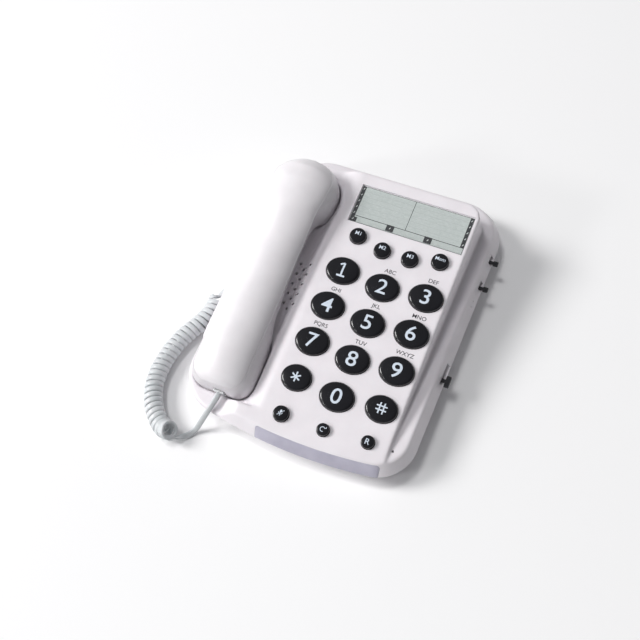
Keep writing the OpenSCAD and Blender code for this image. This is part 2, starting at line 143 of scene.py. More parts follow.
def roughen(nodes, links, factor, low, high, shader):
    spread = nodes.new("ShaderNodeMapRange")
    spread.inputs["To Min"].default_value = low
    spread.inputs["To Max"].default_value = high
    links.new(factor, spread.inputs["Value"])
    links.new(spread.outputs["Result"], shader.inputs["Roughness"])


def emboss(nodes, links, height, distance, strength, shader):
    bump = nodes.new("ShaderNodeBump")
    bump.inputs["Distance"].default_value = distance
    bump.inputs["Strength"].default_value = strength
    links.new(height, bump.inputs["Height"])
    links.new(bump.outputs["Normal"], shader.inputs["Normal"])


def mouldedPlastic(name, dark, light, rough=(0.34, 0.44), grain=2600, relief=0.12, coat=0.0, soft=0.0):
    # injection moulded plastic: faint mottling, fine spark-eroded grain
    material, nodes, links, shader = newFinish(name)
    cloud = speckle(nodes, links, 55, 4)
    tintBetween(nodes, links, cloud.outputs["Fac"], dark, light, shader.inputs["Base Color"])
    fine = speckle(nodes, links, grain, 2)
    roughen(nodes, links, fine.outputs["Fac"], rough[0], rough[1], shader)
    emboss(nodes, links, fine.outputs["Fac"], 0.00005, relief, shader)
    shader.inputs["Coat Weight"].default_value = coat
    shader.inputs["Coat Roughness"].default_value = 0.12
    if soft:
        shader.inputs["Subsurface Weight"].default_value = soft
        shader.inputs["Subsurface Radius"].default_value = (0.004, 0.003, 0.003)
        shader.inputs["Subsurface Scale"].default_value = 0.3
    return material


def metal(name, dark, light, rough=(0.25, 0.42), stretch=(1, 14, 1)):
    material, nodes, links, shader = newFinish(name)
    streak = speckle(nodes, links, 380, 3, stretch)
    tintBetween(nodes, links, streak.outputs["Fac"], dark, light, shader.inputs["Base Color"])
    roughen(nodes, links, streak.outputs["Fac"], rough[0], rough[1], shader)
    emboss(nodes, links, streak.outputs["Fac"], 0.00003, 0.2, shader)
    shader.inputs["Metallic"].default_value = 1.0
    return material


def ribbedLens(name):
    # translucent lens with fine upright ribs moulded inside
    material, nodes, links, shader = newFinish(name)
    where = nodes.new("ShaderNodeTexCoord")
    ribs = nodes.new("ShaderNodeTexWave")
    ribs.bands_direction = "X"
    ribs.inputs["Scale"].default_value = 160
    ribs.inputs["Distortion"].default_value = 0.0
    links.new(where.outputs["Object"], ribs.inputs["Vector"])
    cloud = speckle(nodes, links, 70, 3)
    tintBetween(nodes, links, cloud.outputs["Fac"], (0.42, 0.405, 0.50), (0.49, 0.475, 0.57),
                shader.inputs["Base Color"])
    emboss(nodes, links, ribs.outputs["Fac"], 0.00012, 0.35, shader)
    shader.inputs["Roughness"].default_value = 0.3
    shader.inputs["Subsurface Weight"].default_value = 0.25
    shader.inputs["Subsurface Radius"].default_value = (0.003, 0.003, 0.004)
    shader.inputs["Subsurface Scale"].default_value = 0.4
    shader.inputs["Coat Weight"].default_value = 0.4
    shader.inputs["Coat Roughness"].default_value = 0.08
    return material


def clearSheet(name, alpha):
    material, nodes, links, shader = newFinish(name)
    haze = speckle(nodes, links, 900, 2)
    roughen(nodes, links, haze.outputs["Fac"], 0.04, 0.14, shader)
    shader.inputs["Base Color"].default_value = (0.9, 0.93, 0.95, 1)
    shader.inputs["Alpha"].default_value = alpha
    shader.inputs["Specular IOR Level"].default_value = 0.25
    return material


def clearPlug(name):
    material, nodes, links, shader = newFinish(name)
    haze = speckle(nodes, links, 500, 2)
    roughen(nodes, links, haze.outputs["Fac"], 0.08, 0.2, shader)
    shader.inputs["Base Color"].default_value = (0.86, 0.88, 0.9, 1)
    shader.inputs["Transmission Weight"].default_value = 0.6
    shader.inputs["IOR"].default_value = 1.49
    return material


def printedCard(name):
    # paper card with a faint fibre
    material, nodes, links, shader = newFinish(name)
    fibre = speckle(nodes, links, 420, 5, (1, 3, 1))
    tintBetween(nodes, links, fibre.outputs["Fac"], (0.47, 0.52, 0.505), (0.54, 0.585, 0.57),
                shader.inputs["Base Color"])
    emboss(nodes, links, fibre.outputs["Fac"], 0.00003, 0.2, shader)
    shader.inputs["Roughness"].default_value = 0.75
    return material


def flatInk(name, dark, light, rough=0.5):
    material, nodes, links, shader = newFinish(name)
    grain = speckle(nodes, links, 1500, 2)
    tintBetween(nodes, links, grain.outputs["Fac"], dark, light, shader.inputs["Base Color"])
    roughen(nodes, links, grain.outputs["Fac"], rough - 0.06, rough + 0.06, shader)
    return material


def circuitBoard(name):
    # solder mask with copper runs showing through
    material, nodes, links, shader = newFinish(name)
    where = nodes.new("ShaderNodeTexCoord")
    runs = nodes.new("ShaderNodeTexBrick")
    runs.inputs["Scale"].default_value = 260
    runs.inputs["Color1"].default_value = (0.03, 0.16, 0.07, 1)
    runs.inputs["Color2"].default_value = (0.04, 0.20, 0.09, 1)
    runs.inputs["Mortar"].default_value = (0.12, 0.34, 0.16, 1)
    runs.inputs["Mortar Size"].default_value = 0.03
    links.new(where.outputs["Object"], runs.inputs["Vector"])
    links.new(runs.outputs["Color"], shader.inputs["Base Color"])
    emboss(nodes, links, runs.outputs["Fac"], 0.00005, 0.3, shader)
    shader.inputs["Roughness"].default_value = 0.35
    return material


finishes = {
    "shell": mouldedPlastic("ivoryShell", (0.80, 0.765, 0.80), (0.845, 0.81, 0.845), (0.36, 0.46),
                            2400, 0.14, soft=0.06),
    "handset_shell": mouldedPlastic("ivoryHandset", (0.80, 0.775, 0.80), (0.845, 0.82, 0.845), (0.32, 0.42),
                                    2400, 0.08, soft=0.06),
    "light_lens": ribbedLens("lilacLens"),
    "circuit_board": circuitBoard("greenBoard"),
    "lamp": mouldedPlastic("amberLamp", (0.80, 0.55, 0.10), (0.88, 0.64, 0.16), (0.15, 0.22), soft=0.3),
    "clear_cover": clearSheet("clearCover", 0.05),
    "card": printedCard("paperCard"),
    "key_rubber": mouldedPlastic("greyRubber", (0.10, 0.10, 0.105), (0.13, 0.13, 0.135), (0.6, 0.75)),
    "steel": metal("zincSteel", (0.52, 0.53, 0.55), (0.66, 0.67, 0.69)),
    "spring_steel": metal("springSteel", (0.55, 0.56, 0.58), (0.7, 0.71, 0.73), (0.2, 0.3), (1, 1, 6)),
    "black_plastic": mouldedPlastic("blackPlastic", (0.018, 0.018, 0.02), (0.03, 0.03, 0.033), (0.45, 0.6),
                                    1800, 0.25),
    "foot_rubber": mouldedPlastic("footRubber", (0.05, 0.05, 0.052), (0.075, 0.075, 0.078), (0.7, 0.85),
                                  1400, 0.3),
    "knob": mouldedPlastic("blackKnob", (0.012, 0.012, 0.014), (0.024, 0.024, 0.027), (0.3, 0.42), 1800, 0.2),
    "key": mouldedPlastic("blackKey", (0.004, 0.004, 0.006), (0.007, 0.007, 0.010), (0.14, 0.22),
                          1500, 0.08, coat=0.1),
    "plug": clearPlug("clearPlug"),
    "cord": mouldedPlastic("vinylCord", (0.60, 0.625, 0.64), (0.68, 0.70, 0.715), (0.3, 0.42),
                           1600, 0.15, soft=0.1),
}
legendInk = flatInk("legendInk", (0.62, 0.70, 0.80), (0.70, 0.77, 0.86))
greyInk = flatInk("greyInk", (0.022, 0.02, 0.028), (0.035, 0.032, 0.042))
stripInk = flatInk("stripInk", (0.008, 0.009, 0.011), (0.016, 0.017, 0.02), 0.35)
lineInk = flatInk("lineInk", (0.40, 0.44, 0.43), (0.44, 0.48, 0.47))
paleInk = flatInk("paleInk", (0.60, 0.63, 0.62), (0.66, 0.69, 0.68))
print("finishes made")


camera = bpy.data.objects.new("camera", bpy.data.cameras.new("camera"))
scene.collection.objects.link(camera)
camera.location = (0.1439, -0.2695, 0.5592)
camera.rotation_euler = (radians(28.474), radians(4.694), radians(23.786))
camera.data.lens = 47.83
camera.data.sensor_width = 36
camera.data.clip_start = 0.01
scene.camera = camera


# the handset cord: its tail into the base, the coil, and the lead to the handset
cord = {
    "width": 4.0 * mm,      # flat cable
    "thickness": 2.3 * mm,
    "coilRadius": 5.75 * mm,
    "turns": 29,
    "perTurn": 18,
    # middle line of the coil, then the lead up to the handset, then the tail into the base
    "coilRoute": [(-98.5, -26, 7), (-98.5, -36, 7), (-101, -46, 7), (-105.5, -56, 7), (-109.4, -67, 7),
                  (-111.6, -79, 7), (-112, -91, 7), (-110.4, -102.6, 7), (-106.5, -112.5, 7),
                  (-101.5, -120.4, 7), (-94.8, -127.2, 7), (-88.5, -131.6, 7.6), (-83.5, -133.2, 9.6),
                  (-80, -133.4, 13)],
    "leadRoute": [(-72.5, -131.4, 3), (-69, -127.5, 2.6), (-66, -123.2, 4.6), (-63, -119.4, 11),
                  (-60, -115.6, 17.6), (-57.9, -110.6, 21.4), (-56.8, -105, 22.6), (-56.5, -98.9, 22.7)],
    "tailRoute": [(-90.2, -13, 9.2), (-92.8, -13.6, 9), (-95.4, -15.4, 8.4), (-97.4, -18.4, 7.7),
                  (-98.2, -21, 7.2)],
}


def smoothRoute(points, steps):
    # a curve through every point, with even handles
    points = [Vector(p) for p in points]
    ends = [2 * points[0] - points[1]] + points + [2 * points[-1] - points[-2]]
    made = []
    for i in range(1, len(ends) - 2):
        a, b, c, d = ends[i - 1:i + 3]
        for k in range(steps):
            t = k / steps
            made.append(0.5 * (2 * b + (c - a) * t + (2 * a - 5 * b + 4 * c - d) * t * t
                               + (3 * b - a - 3 * c + d) * t ** 3))
    made.append(ends[-2])
    return made


def evenRoute(points, step):
    # the same curve with its points a fixed distance apart
    spans = [0.0]
    for a, b in zip(points, points[1:]):
        spans.append(spans[-1] + (b - a).length)
    count = max(2, round(spans[-1] / step))
    made, i = [], 0
    for k in range(count + 1):
        want = spans[-1] * k / count
        while i < len(spans) - 2 and spans[i + 1] < want:
            i += 1
        share = (want - spans[i]) / max(spans[i + 1] - spans[i], 1e-9)
        made.append(points[i].lerp(points[i + 1], share))
    return made


def coilPoints(values):
    # turns wound round the coil's middle line; each point comes with the way the flat side faces
    line = evenRoute([p * mm for p in smoothRoute(values["coilRoute"], 12)], 0.25 * mm)
    total = values["turns"] * values["perTurn"]
    side = Vector((0, 0, 1))
    made = []
    for k in range(total + 1):
        place = k / total * (len(line) - 1)
        i = min(int(place), len(line) - 2)
        middle = line[i].lerp(line[i + 1], place - i)
        along = (line[min(i + 3, len(line) - 1)] - line[max(i - 3, 0)]).normalized()
        side = (side - side.dot(along) * along).normalized()
        across = along.cross(side)
        angle = 2 * pi * k / values["perTurn"] + 0.6
        outward = side * cos(angle) + across * sin(angle)
        made.append((middle + outward * values["coilRadius"], outward, along))
    return made


def cordMesh(values):
    turns = coilPoints(values)
    tail = [p * mm for p in smoothRoute(values["tailRoute"], 4)]
    lead = [p * mm for p in smoothRoute(values["leadRoute"], 5)]
    first, last = turns[0], turns[-1]
    firstWay = (turns[1][0] - first[0]).normalized()
    lastWay = (last[0] - turns[-2][0]).normalized()

    def bridge(a, wayA, b, wayB, count):
        reach = (b - a).length * 0.4
        made = []
        for k in range(1, count):
            t = k / count
            made.append(a * (1 - t) ** 3 + (a + wayA * reach) * 3 * t * (1 - t) ** 2
                        + (b - wayB * reach) * 3 * t * t * (1 - t) + b * t ** 3)
        return made

    joinIn = bridge(tail[-1], (tail[-1] - tail[-2]).normalized(), first[0], firstWay, 7)
    joinOut = bridge(last[0], lastWay, lead[0], (lead[1] - lead[0]).normalized(), 9)
    path = tail + joinIn + [t[0] for t in turns] + joinOut + lead
    flat = ([Vector((0, 0, 1))] * len(tail) + [first[1]] * len(joinIn) + [t[1] for t in turns]
            + [last[1]] * len(joinOut) + [Vector((0.35, -0.5, 0.8))] * len(lead))
    for k in range(3):  # ease the way the flat side faces from one stretch into the next
        flat = [flat[0]] + [(flat[i - 1] + flat[i] * 2 + flat[i + 1]).normalized()
                            for i in range(1, len(flat) - 1)] + [flat[-1]]
    bm = bmesh.new()
    sides = 10
    previous = None
    for i, point in enumerate(path):
        way = (path[min(i + 1, len(path) - 1)] - path[max(i - 1, 0)]).normalized()
        face = (flat[i] - flat[i].dot(way) * way).normalized()
        wide = way.cross(face)
        ring = []
        for k in range(sides):
            a = 2 * pi * k / sides
            px = abs(cos(a)) ** 0.6 * (1 if cos(a) > 0 else -1)
            py = abs(sin(a)) ** 0.75 * (1 if sin(a) > 0 else -1)
            ring.append(bm.verts.new(point + wide * px * values["width"] / 2
                                     + face * py * values["thickness"] / 2))
        if previous:
            for k in range(sides):
                bm.faces.new((previous[k], previous[(k + 1) % sides], ring[(k + 1) % sides], ring[k]))
        else:
            bm.faces.new(ring)
        previous = ring
    bm.faces.new(previous)
    return bm, path


cordBm, cordPath = cordMesh(cord)
handsetCord = addPiece("handsetCord", cordBm, "base", finishes["cord"], 60)
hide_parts("cord_coil", "cord_lead", "cord_tail")
print("cord made")


floorBm = bmesh.new()
bmesh.ops.create_grid(floorBm, x_segments=2, y_segments=2, size=4)
floorPaper = flatInk("floorPaper", (0.955, 0.955, 0.96), (0.965, 0.965, 0.97), 0.8)
floor = addPiece("floor", floorBm, None, floorPaper)

world = bpy.data.worlds.new("studio")
scene.world = world
world.use_nodes = True
world.node_tree.nodes["Background"].inputs["Color"].default_value = (0.96, 0.97, 1.0, 1)
skyNodes, skyLinks = world.node_tree.nodes, world.node_tree.links
skyWhere = skyNodes.new("ShaderNodeTexCoord")
skySplit = skyNodes.new("ShaderNodeSeparateXYZ")
skySpread = skyNodes.new("ShaderNodeMapRange")  # dimmer on the right, away from the key light
for socket, value in (("From Min", -1), ("From Max", 1), ("To Min", 0.44), ("To Max", 0.08)):
    skySpread.inputs[socket].default_value = value
skyLinks.new(skyWhere.outputs["Generated"], skySplit.inputs["Vector"])
skyLinks.new(skySplit.outputs["X"], skySpread.inputs["Value"])
skyLinks.new(skySpread.outputs["Result"], skyNodes["Background"].inputs["Strength"])


def softBox(name, place, aim, size, power, tint=(1, 1, 1), mirrored=True):
    lamp = bpy.data.lights.new(name, "AREA")
    lamp.shape = "RECTANGLE"
    lamp.size, lamp.size_y = size
    lamp.energy = power
    lamp.color = tint
    holder = bpy.data.objects.new(name, lamp)
    holder.visible_glossy = mirrored  # a lamp that lights the matt faces but isn't seen in the keys
    scene.collection.objects.link(holder)
    holder.location = place
    holder.rotation_euler = (Vector(aim) - Vector(place)).to_track_quat("-Z", "Y").to_euler()


softBox("keyLight", (-4.2, -1.1, 3.6), (0.1, 0, 0.03), (1.7, 1.9), 218, (1.0, 0.99, 0.98))
softBox("topLight", (-1.5, 0.2, 5.0), (0.05, 0, 0.03), (1.1, 1.1), 70, mirrored=False)
softBox("fillLight", (-1.5, -1.6, 1.15), (0, 0, 0.03), (0.4, 0.3), 8)
scene.view_settings.view_transform = "Standard"
print("stage made")


shellShape = {
    "left": -89.75, "right": 84.75, "front": -117.5, "back": 117.5,
    "corners": (27, 22, 33, 33),   # front left, front right, back right, back left
    "bow": 350, "bowCentre": 5,
    "partingZ": 16, "deckZ": 26, "skirt": 5.5, "wall": 2.5,
    "panel": (-110.75, 46, -82, 121), "panelCorners": (34, 1, 12, 26),
    "troughFloor": -10, "troughFoot": -62, "troughLip": -51.5, "troughFront": -71,
    "notchFoot": -72.5, "notchLip": -64, "leftDeckZ": 18.5,
    "earWell": (-82, 91), "earWellRadius": 26.1, "earWellFloor": -19,
    "mouthWell": (-106.6, -57.4, -70.1, -21.5), "mouthWellCorners": (13, 13, 10, 10), "mouthWellFloor": -13,
    "speakerStart": (-69.6, 4.5), "speakerPitch": (4.3, 8), "speakerHole": 0.95,
    "plungerHole": (-82, 50, 4.2),
    "voxel": 0.9, "softenings": 11,
}


def roundCorner(bm, point, radius, segments):
    bmesh.ops.bevel(bm, geom=[point], offset=radius, segments=segments, profile=0.5, affect="VERTICES",
                    material=-1)


def flatPlate(sides, corners, bow=0.0, bowCentre=0.0):
    # one flat face with round corners; the front edge is bowed
    left, right, front, back = sides
    bm = bmesh.new()
    around = ((left, front, 0), (right, front, 0), (right, back, 0), (left, back, 0))
    points = [bm.verts.new(p) for p in around]
    bm.faces.new(points)
    for point, radius in zip(points, corners):
        roundCorner(bm, point, radius, 10)
    frontEdges = [e for e in bm.edges if max(v.co.y for v in e.verts) < front + 0.001]
    frontEdge = max(frontEdges, key=lambda e: e.calc_length())
    bmesh.ops.subdivide_edges(bm, edges=[frontEdge], cuts=16)
    if bow:
        for v in bm.verts:
            if v.co.y < (front + back) / 2:
                v.co.y += bow - sqrt(bow ** 2 - (v.co.x - bowCentre) ** 2)
    return bm


def insetPlate(bm, amount):
    if amount:
        ring = bmesh.ops.inset_individual(bm, faces=bm.faces[:], thickness=amount, use_even_offset=True)
        bmesh.ops.delete(bm, geom=ring["faces"], context="FACES")


def raiseFace(bm, move):
    # extrudes the plate's own face and leaves a closed block; returns the far face
    made = bmesh.ops.extrude_face_region(bm, geom=bm.faces[:], use_keep_orig=True)
    far = [g for g in made["geom"] if isinstance(g, bmesh.types.BMVert)]
    bmesh.ops.translate(bm, verts=far, vec=move)
    return [g for g in made["geom"] if isinstance(g, bmesh.types.BMFace)][0], far


def skirtBlock(values, inset=0.0):
    bm = flatPlate([values[k] for k in ("left", "right", "front", "back")], values["corners"],
                   values["bow"], values["bowCentre"])
    insetPlate(bm, inset)
    bmesh.ops.translate(bm, verts=bm.verts[:], vec=(0, 0, values["partingZ"] - 6))
    top, _ = raiseFace(bm, (0, 0, 6 - inset * 0.5))
    if top.normal.z < 0:
        top.normal_flip()
    bmesh.ops.inset_individual(bm, faces=[top], thickness=values["skirt"],
                               depth=values["deckZ"] - values["partingZ"] - inset * 0.5, use_even_offset=True)
    bmesh.ops.scale(bm, vec=(mm, mm, mm), verts=bm.verts[:])
    return bm


def panelBlock(values, inset=0.0):
    bm = flatPlate(values["panel"], values["panelCorners"], values["bow"], values["bowCentre"] - 23)
    insetPlate(bm, inset)
    bmesh.ops.translate(bm, verts=bm.verts[:], vec=(0, 0, -inset))
    bmesh.ops.scale(bm, vec=(mm, mm, mm), verts=bm.verts[:])
    bmesh.ops.transform(bm, matrix=panelPlace, verts=bm.verts[:])
    _, far = raiseFace(bm, (0, 0.013, 0))
    for v in far:
        v.co.z = (values["partingZ"] + 1 - inset) * mm
    bmesh.ops.scale(bm, vec=(1.018, 1.0, 1), verts=far)
    return bm


def cutProfile(points, rounds, y0, y1):
    # an outline across the panel, some of its corners rounded, run along the panel
    bm = bmesh.new()
    made = [bm.verts.new((x, y0, z)) for x, z in points]
    bm.faces.new(made)
    for i, radius in rounds.items():
        roundCorner(bm, made[i], radius, 8)
    raiseFace(bm, (0, y1 - y0, 0))
    bmesh.ops.scale(bm, vec=(mm, mm, mm), verts=bm.verts[:])
    return bm


def troughTools(values, grow=0.0):
    floorZ = values["troughFloor"] - grow
    lip = values["troughLip"] + grow * 0.7
    past = -39 if grow else -35
    trough = cutProfile([(-140, 40), (-140, floorZ), (values["troughFoot"] + grow * 0.3, floorZ),
                         (lip, 0.05 - grow), (past, 0.05 - grow), (past, 40)],
                        {2: 4.5, 3: 6.5}, values["troughFront"] - grow, 140)
    lip = values["notchLip"] + grow
    foot = values["notchFoot"] + grow
    notch = cutProfile([(-140, 40), (-140, -24), (foot, -24), (foot, -7), (lip, 0.05 - grow),
                        (-50, 0.05 - grow), (-50, 40)], {4: 3.2}, -130, -70)
    earX, earY = values["earWell"]
    ear = discMesh((earX * mm, earY * mm), (values["earWellRadius"] + grow) * mm,
                   (values["earWellFloor"] - grow) * mm, 30 * mm, 96)
    mouth = wellBlock(values, grow)
    tools = [toolObject(bm, panelPlace) for bm in (trough, notch, ear, mouth)]
    deck = boxMesh((-0.2, -0.2, -0.1), (0.1, -0.05, (values["leftDeckZ"] - grow) * mm))
    combine(tools[1], [toolObject(deck)])
    return tools


def wellBlock(values, grow=0.0):
    left, right, front, back = values["mouthWell"]
    bm = flatPlate((left - grow, right + grow, front - grow, back), values["mouthWellCorners"])
    bmesh.ops.translate(bm, verts=bm.verts[:], vec=(0, 0, values["mouthWellFloor"] - grow))
    raiseFace(bm, (0, 0, 45))
    bmesh.ops.scale(bm, vec=(mm, mm, mm), verts=bm.verts[:])
    return bm


def panelBox(nodeName):
    # a CAD node's lowest and highest corners along the panel's own axes
    back = panelPlace.inverted()
    corners = [back @ v.co for v in frame["nodes"][nodeName].data.vertices]
    return (Vector([min(c[i] for c in corners) for i in range(3)]),
            Vector([max(c[i] for c in corners) for i in range(3)]))


keyNames = [n for n in frame["nodes"] if n.startswith("key_") and n != "key_mat"]
keyFlange = 0.7 * mm
keyGap = 0.35 * mm
keyPlace = {}  # middle x and y, half width, half height and top of each key
for keyName in keyNames:
    low, high = panelBox(keyName)
    keyPlace[keyName] = ((low.x + high.x) / 2, (low.y + high.y) / 2,
                         (high.x - low.x) / 2 - keyFlange, (high.y - low.y) / 2 - keyFlange, high.z)


def shellCuts(values):
    cuts = []
    holes = bmesh.new()
    for x, y, halfW, halfH, _ in keyPlace.values():
        holeW, holeH = halfW + keyGap, halfH + keyGap
        discMesh((x, y), holeW, -9 * mm, 9 * mm, 64, holeH / holeW, holes)
    low, high = panelBox("window_cover")
    boxMesh((low.x - 0.2 * mm, low.y - 0.2 * mm, -1.25 * mm),
            (high.x + 0.2 * mm, high.y + 0.2 * mm, 4 * mm), holes)
    startX, startY = values["speakerStart"]
    pitchX, pitchY = values["speakerPitch"]
    for column in range(4):
        for row in range(5):
            stagger = pitchY / 2 if column % 2 else 0
            spot = ((startX + pitchX * column) * mm, (startY + pitchY * row + stagger) * mm)
            discMesh(spot, values["speakerHole"] * mm, -22 * mm, 6 * mm, 16, 1.0, holes)
    x, y, radius = values["plungerHole"]
    discMesh((x * mm, y * mm), radius * mm, -20 * mm, 6 * mm, 40, 1.0, holes)
    cuts.append(toolObject(holes, panelPlace))
    sides = bmesh.new()
    slots = (("tone_switch", 0.4, 3.4), ("ringer_switch", 0.4, 3.4), ("volume_slider", 0.3, 9.3))
    for name, before, after in slots:
        low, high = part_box(name)
        middle = (low + high) / 2
        half = 1.7 if name != "volume_slider" else 3.2
        boxMesh((0.0745, middle.y - (half + before) * mm, middle.z - 1.9 * mm),
                (0.095, middle.y + (half + after) * mm, middle.z + 1.9 * mm), sides)
    for y in (30, 35):
        place = Matrix.Translation((0.083, y * mm, 0.0204)) @ Matrix.Rotation(pi / 2, 4, "Y")
        bmesh.ops.create_cone(sides, cap_ends=True, segments=16, radius1=0.6 * mm, radius2=0.6 * mm,
                              depth=20 * mm, matrix=place)
    discMesh((0.071, -0.094), 0.9 * mm, 10 * mm, 40 * mm, 20, 1.0, sides)
    cuts.append(toolObject(sides))
    cuts.append(toolObject(lensZone(0.15)))
    return cuts


def lensZone(grow):
    # the opening for the light strip, its two upper corners rounded
    bm = bmesh.new()
    points = [(-21.5, 10), (67, 10), (67, 25.2), (-21.5, 25.2)]
    made = [bm.verts.new((x, -125, z)) for x, z in points]
    bm.faces.new(made)
    for i, radius in ((2, 3.0), (3, 1.6)):
        roundCorner(bm, made[i], radius, 6)
    for v in bm.verts:
        v.co.x += grow if v.co.x > 20 else -grow
        v.co.z += grow if v.co.z > 15 else 0
    raiseFace(bm, (0, 21, 0))
    bmesh.ops.scale(bm, vec=(mm, mm, mm), verts=bm.verts[:])
    return bm


def finishPiece(piece, name, body, slotName, nodeName, sharp=40):
    piece.name = name
    piece.data.name = name
    piece.data.materials.clear()
    piece.data.materials.append(finishes[slotName])
    piece.data.shade_smooth()
    piece.data.set_sharp_from_angle(angle=radians(sharp))
    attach(piece, body)
    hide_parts(nodeName)
    print(name, len(piece.data.polygons))


def makeTopShell(values):
    shell = toolObject(skirtBlock(values))
    combine(shell, [toolObject(panelBlock(values))], "UNION")
    combine(shell, troughTools(values))
    remesh = shell.modifiers.new("remesh", "REMESH")
    remesh.mode = "VOXEL"
    remesh.voxel_size = values["voxel"] * mm
    soften = shell.modifiers.new("soften", "SMOOTH")
    soften.factor = 0.5
    soften.iterations = values["softenings"]
    applyModifiers(shell)
    print("top shell outside", len(shell.data.polygons))
    # hollow it, and cut it flat at the line where the two shells meet
    wall = values["wall"]
    cavity = toolObject(skirtBlock(values, wall))
    combine(cavity, [toolObject(panelBlock(values, wall))], "UNION")
    combine(cavity, troughTools(values, wall))
    below = toolObject(boxMesh((-0.2, -0.2, -0.05), (0.2, 0.2, (values["partingZ"] + 0.05) * mm)))
    combine(shell, [cavity, below])
    combine(shell, shellCuts(values))
    tub = toolObject(wellBlock(values, wall), panelPlace)
    lid = toolObject(boxMesh((-0.2, -0.2, (values["partingZ"] + 0.2) * mm), (0.2, 0.2, 0.2)))
    combine(tub, [toolObject(wellBlock(values), panelPlace), lid])
    combine(shell, [tub], "UNION")
    finishPiece(shell, "topShell", "base", "shell", "top_shell", 38)


makeTopShell(shellShape)


# the handset: two skins lofted ring by ring, parted along a crease
handset = {
    "middle": -82, "mouthEnd": -69.5, "earEnd": 116.5, "creaseMouthEnd": -67.6, "creaseEarEnd": 114.2,
    "creaseHalf": [(-70, 19.8), (-20, 19.4), (40, 19.2), (70, 19.8), (92, 21.8), (117, 21.8)],
    "lowHalf": [(-70, 23.8), (-45, 23.8), (-25, 22), (-6, 19.5), (20, 17.2), (55, 16.6), (66, 17), (72, 17.9),
                (78, 22.3), (84, 24.8), (91, 25.3), (117, 25.3)],
    "creaseUp": [(-70, 5.5), (-62, 8), (-45, 8.6), (0, 9.3), (40, 11.5), (75, 16.5), (95, 16.5), (110, 12),
                 (117, 6)],
    "crownUp": [(-70, 8), (-66, 12.5), (-60, 15.3), (-45, 17), (0, 17.6), (40, 19.8), (75, 24.2), (92, 24.4),
                (104, 22), (112, 16), (117, 8)],
    "lowUp": [(-70, -11.5), (-30, -11.5), (-24, -9.3), (-18, -6.6), (-12, -3.5), (-5, -2), (60, -2), (66, -4),
              (72, -8.5), (78, -15), (84, -17.5), (117, -17.5)],
    "mouthRound": 13, "sideTall": 11, "lowCorner": 3, "skin": 2.0, "lip": 0.3,
}


def curveAt(points, y):
    # a smooth value between listed stations, without overshoot
    if y <= points[0][0]:
        return points[0][1]
    for (y0, a), (y1, b) in zip(points, points[1:]):
        if y <= y1:
            t = (y - y0) / (y1 - y0)
            eased = t * t * (3 - 2 * t)
            return a + (b - a) * (0.5 * t + 0.5 * eased)
    return points[-1][1]


def roundedHalf(full, y, start, end, startRound):
    # half width with a round corner at the mouth end and a half circle at the ear end
    if y < start + startRound:
        reach = startRound - (y - start)
        return full - startRound + sqrt(max(startRound ** 2 - reach ** 2, 0))
    if y > end - full:
        return sqrt(max(full ** 2 - (y - end + full) ** 2, 0.04))
    return full


def handsetStations(values):
    start, end = values["mouthEnd"], values["earEnd"]
    made = [start + values["mouthRound"] * (1 - cos(radians(a))) for a in range(0, 90, 9)]
    y = start + values["mouthRound"]
    while y < end - 25.3:
        made.append(y)
        y += 2.2
    return made + [end - 25.3 + 25.3 * sin(radians(a)) for a in range(0, 90, 4)] + [end - 0.01]


def handsetRing(values, y):
    start, end = values["mouthEnd"], values["earEnd"]
    creaseY = y
    if y > 70:
        creaseY = 70 + (y - 70) * (values["creaseEarEnd"] - 70) / (end - 70)
    if y < -40:
        creaseY = -40 + (y + 40) * (values["creaseMouthEnd"] + 40) / (start + 40)
    crease = roundedHalf(curveAt(values["creaseHalf"], creaseY), creaseY, values["creaseMouthEnd"],
                         values["creaseEarEnd"], values["mouthRound"])
    low = roundedHalf(curveAt(values["lowHalf"], y), y, start, end, values["mouthRound"])
    creaseZ, crownZ, lowZ = (curveAt(values[k], y) for k in ("creaseUp", "crownUp", "lowUp"))
    x0 = values["middle"]
    upper = []
    for k in range(29):
        u = sin(radians(-90 + 180 * k / 28))
        rise = (crownZ - creaseZ) * max(1 - u * u, 0) ** 0.8
        upper.append(Vector((x0 + crease * u, creaseY, creaseZ + rise)))
    lip = values["lip"]
    half = [(crease + lip, creaseY, creaseZ)]
    sideZ = max(creaseZ - values["sideTall"], lowZ + 3)
    for k in range(1, 7):
        t = k / 6
        half.append((crease + lip + (low - crease - lip) * sin(radians(90 * t)) ** 0.9,
                     creaseY + (y - creaseY) * t, creaseZ + (sideZ - creaseZ) * t))
    corner = min(values["lowCorner"], low * 0.6, sideZ - lowZ + 0.01)
    for k in range(1, 6):
        half.append((low, y, sideZ + (lowZ + corner - sideZ) * k / 5))
    for a in range(15, 91, 15):
        half.append((low - corner * (1 - cos(radians(a))), y, lowZ + corner * (1 - sin(radians(a)))))
    for k in range(1, 6):
        half.append(((low - corner) * (1 - k / 5), y, lowZ))
    lower = [Vector((x0 + x, yy, z)) for x, yy, z in half]
    lower += [Vector((x0 - x, yy, z)) for x, yy, z in reversed(half[:-1])]
    return upper, lower


def loftSkin(rings):
    # an open skin through the rings, its first and last ring filled
    bm = bmesh.new()
    rows = [[bm.verts.new(p * mm) for p in ring] for ring in rings]
    for a, b in zip(rows, rows[1:]):
        for k in range(len(a) - 1):
            bm.faces.new((a[k], a[k + 1], b[k + 1], b[k]))
    for row in (rows[0], rows[-1]):
        bm.faces.new(row)
    return bm


def thicken(piece, amount, sharp):
    # gives an open skin its wall, inward
    skin = piece.modifiers.new("wall", "SOLIDIFY")
    skin.thickness = amount
    skin.offset = -1
    skin.use_even_offset = False
    skin.use_quality_normals = True
    applyModifiers(piece, sharp)


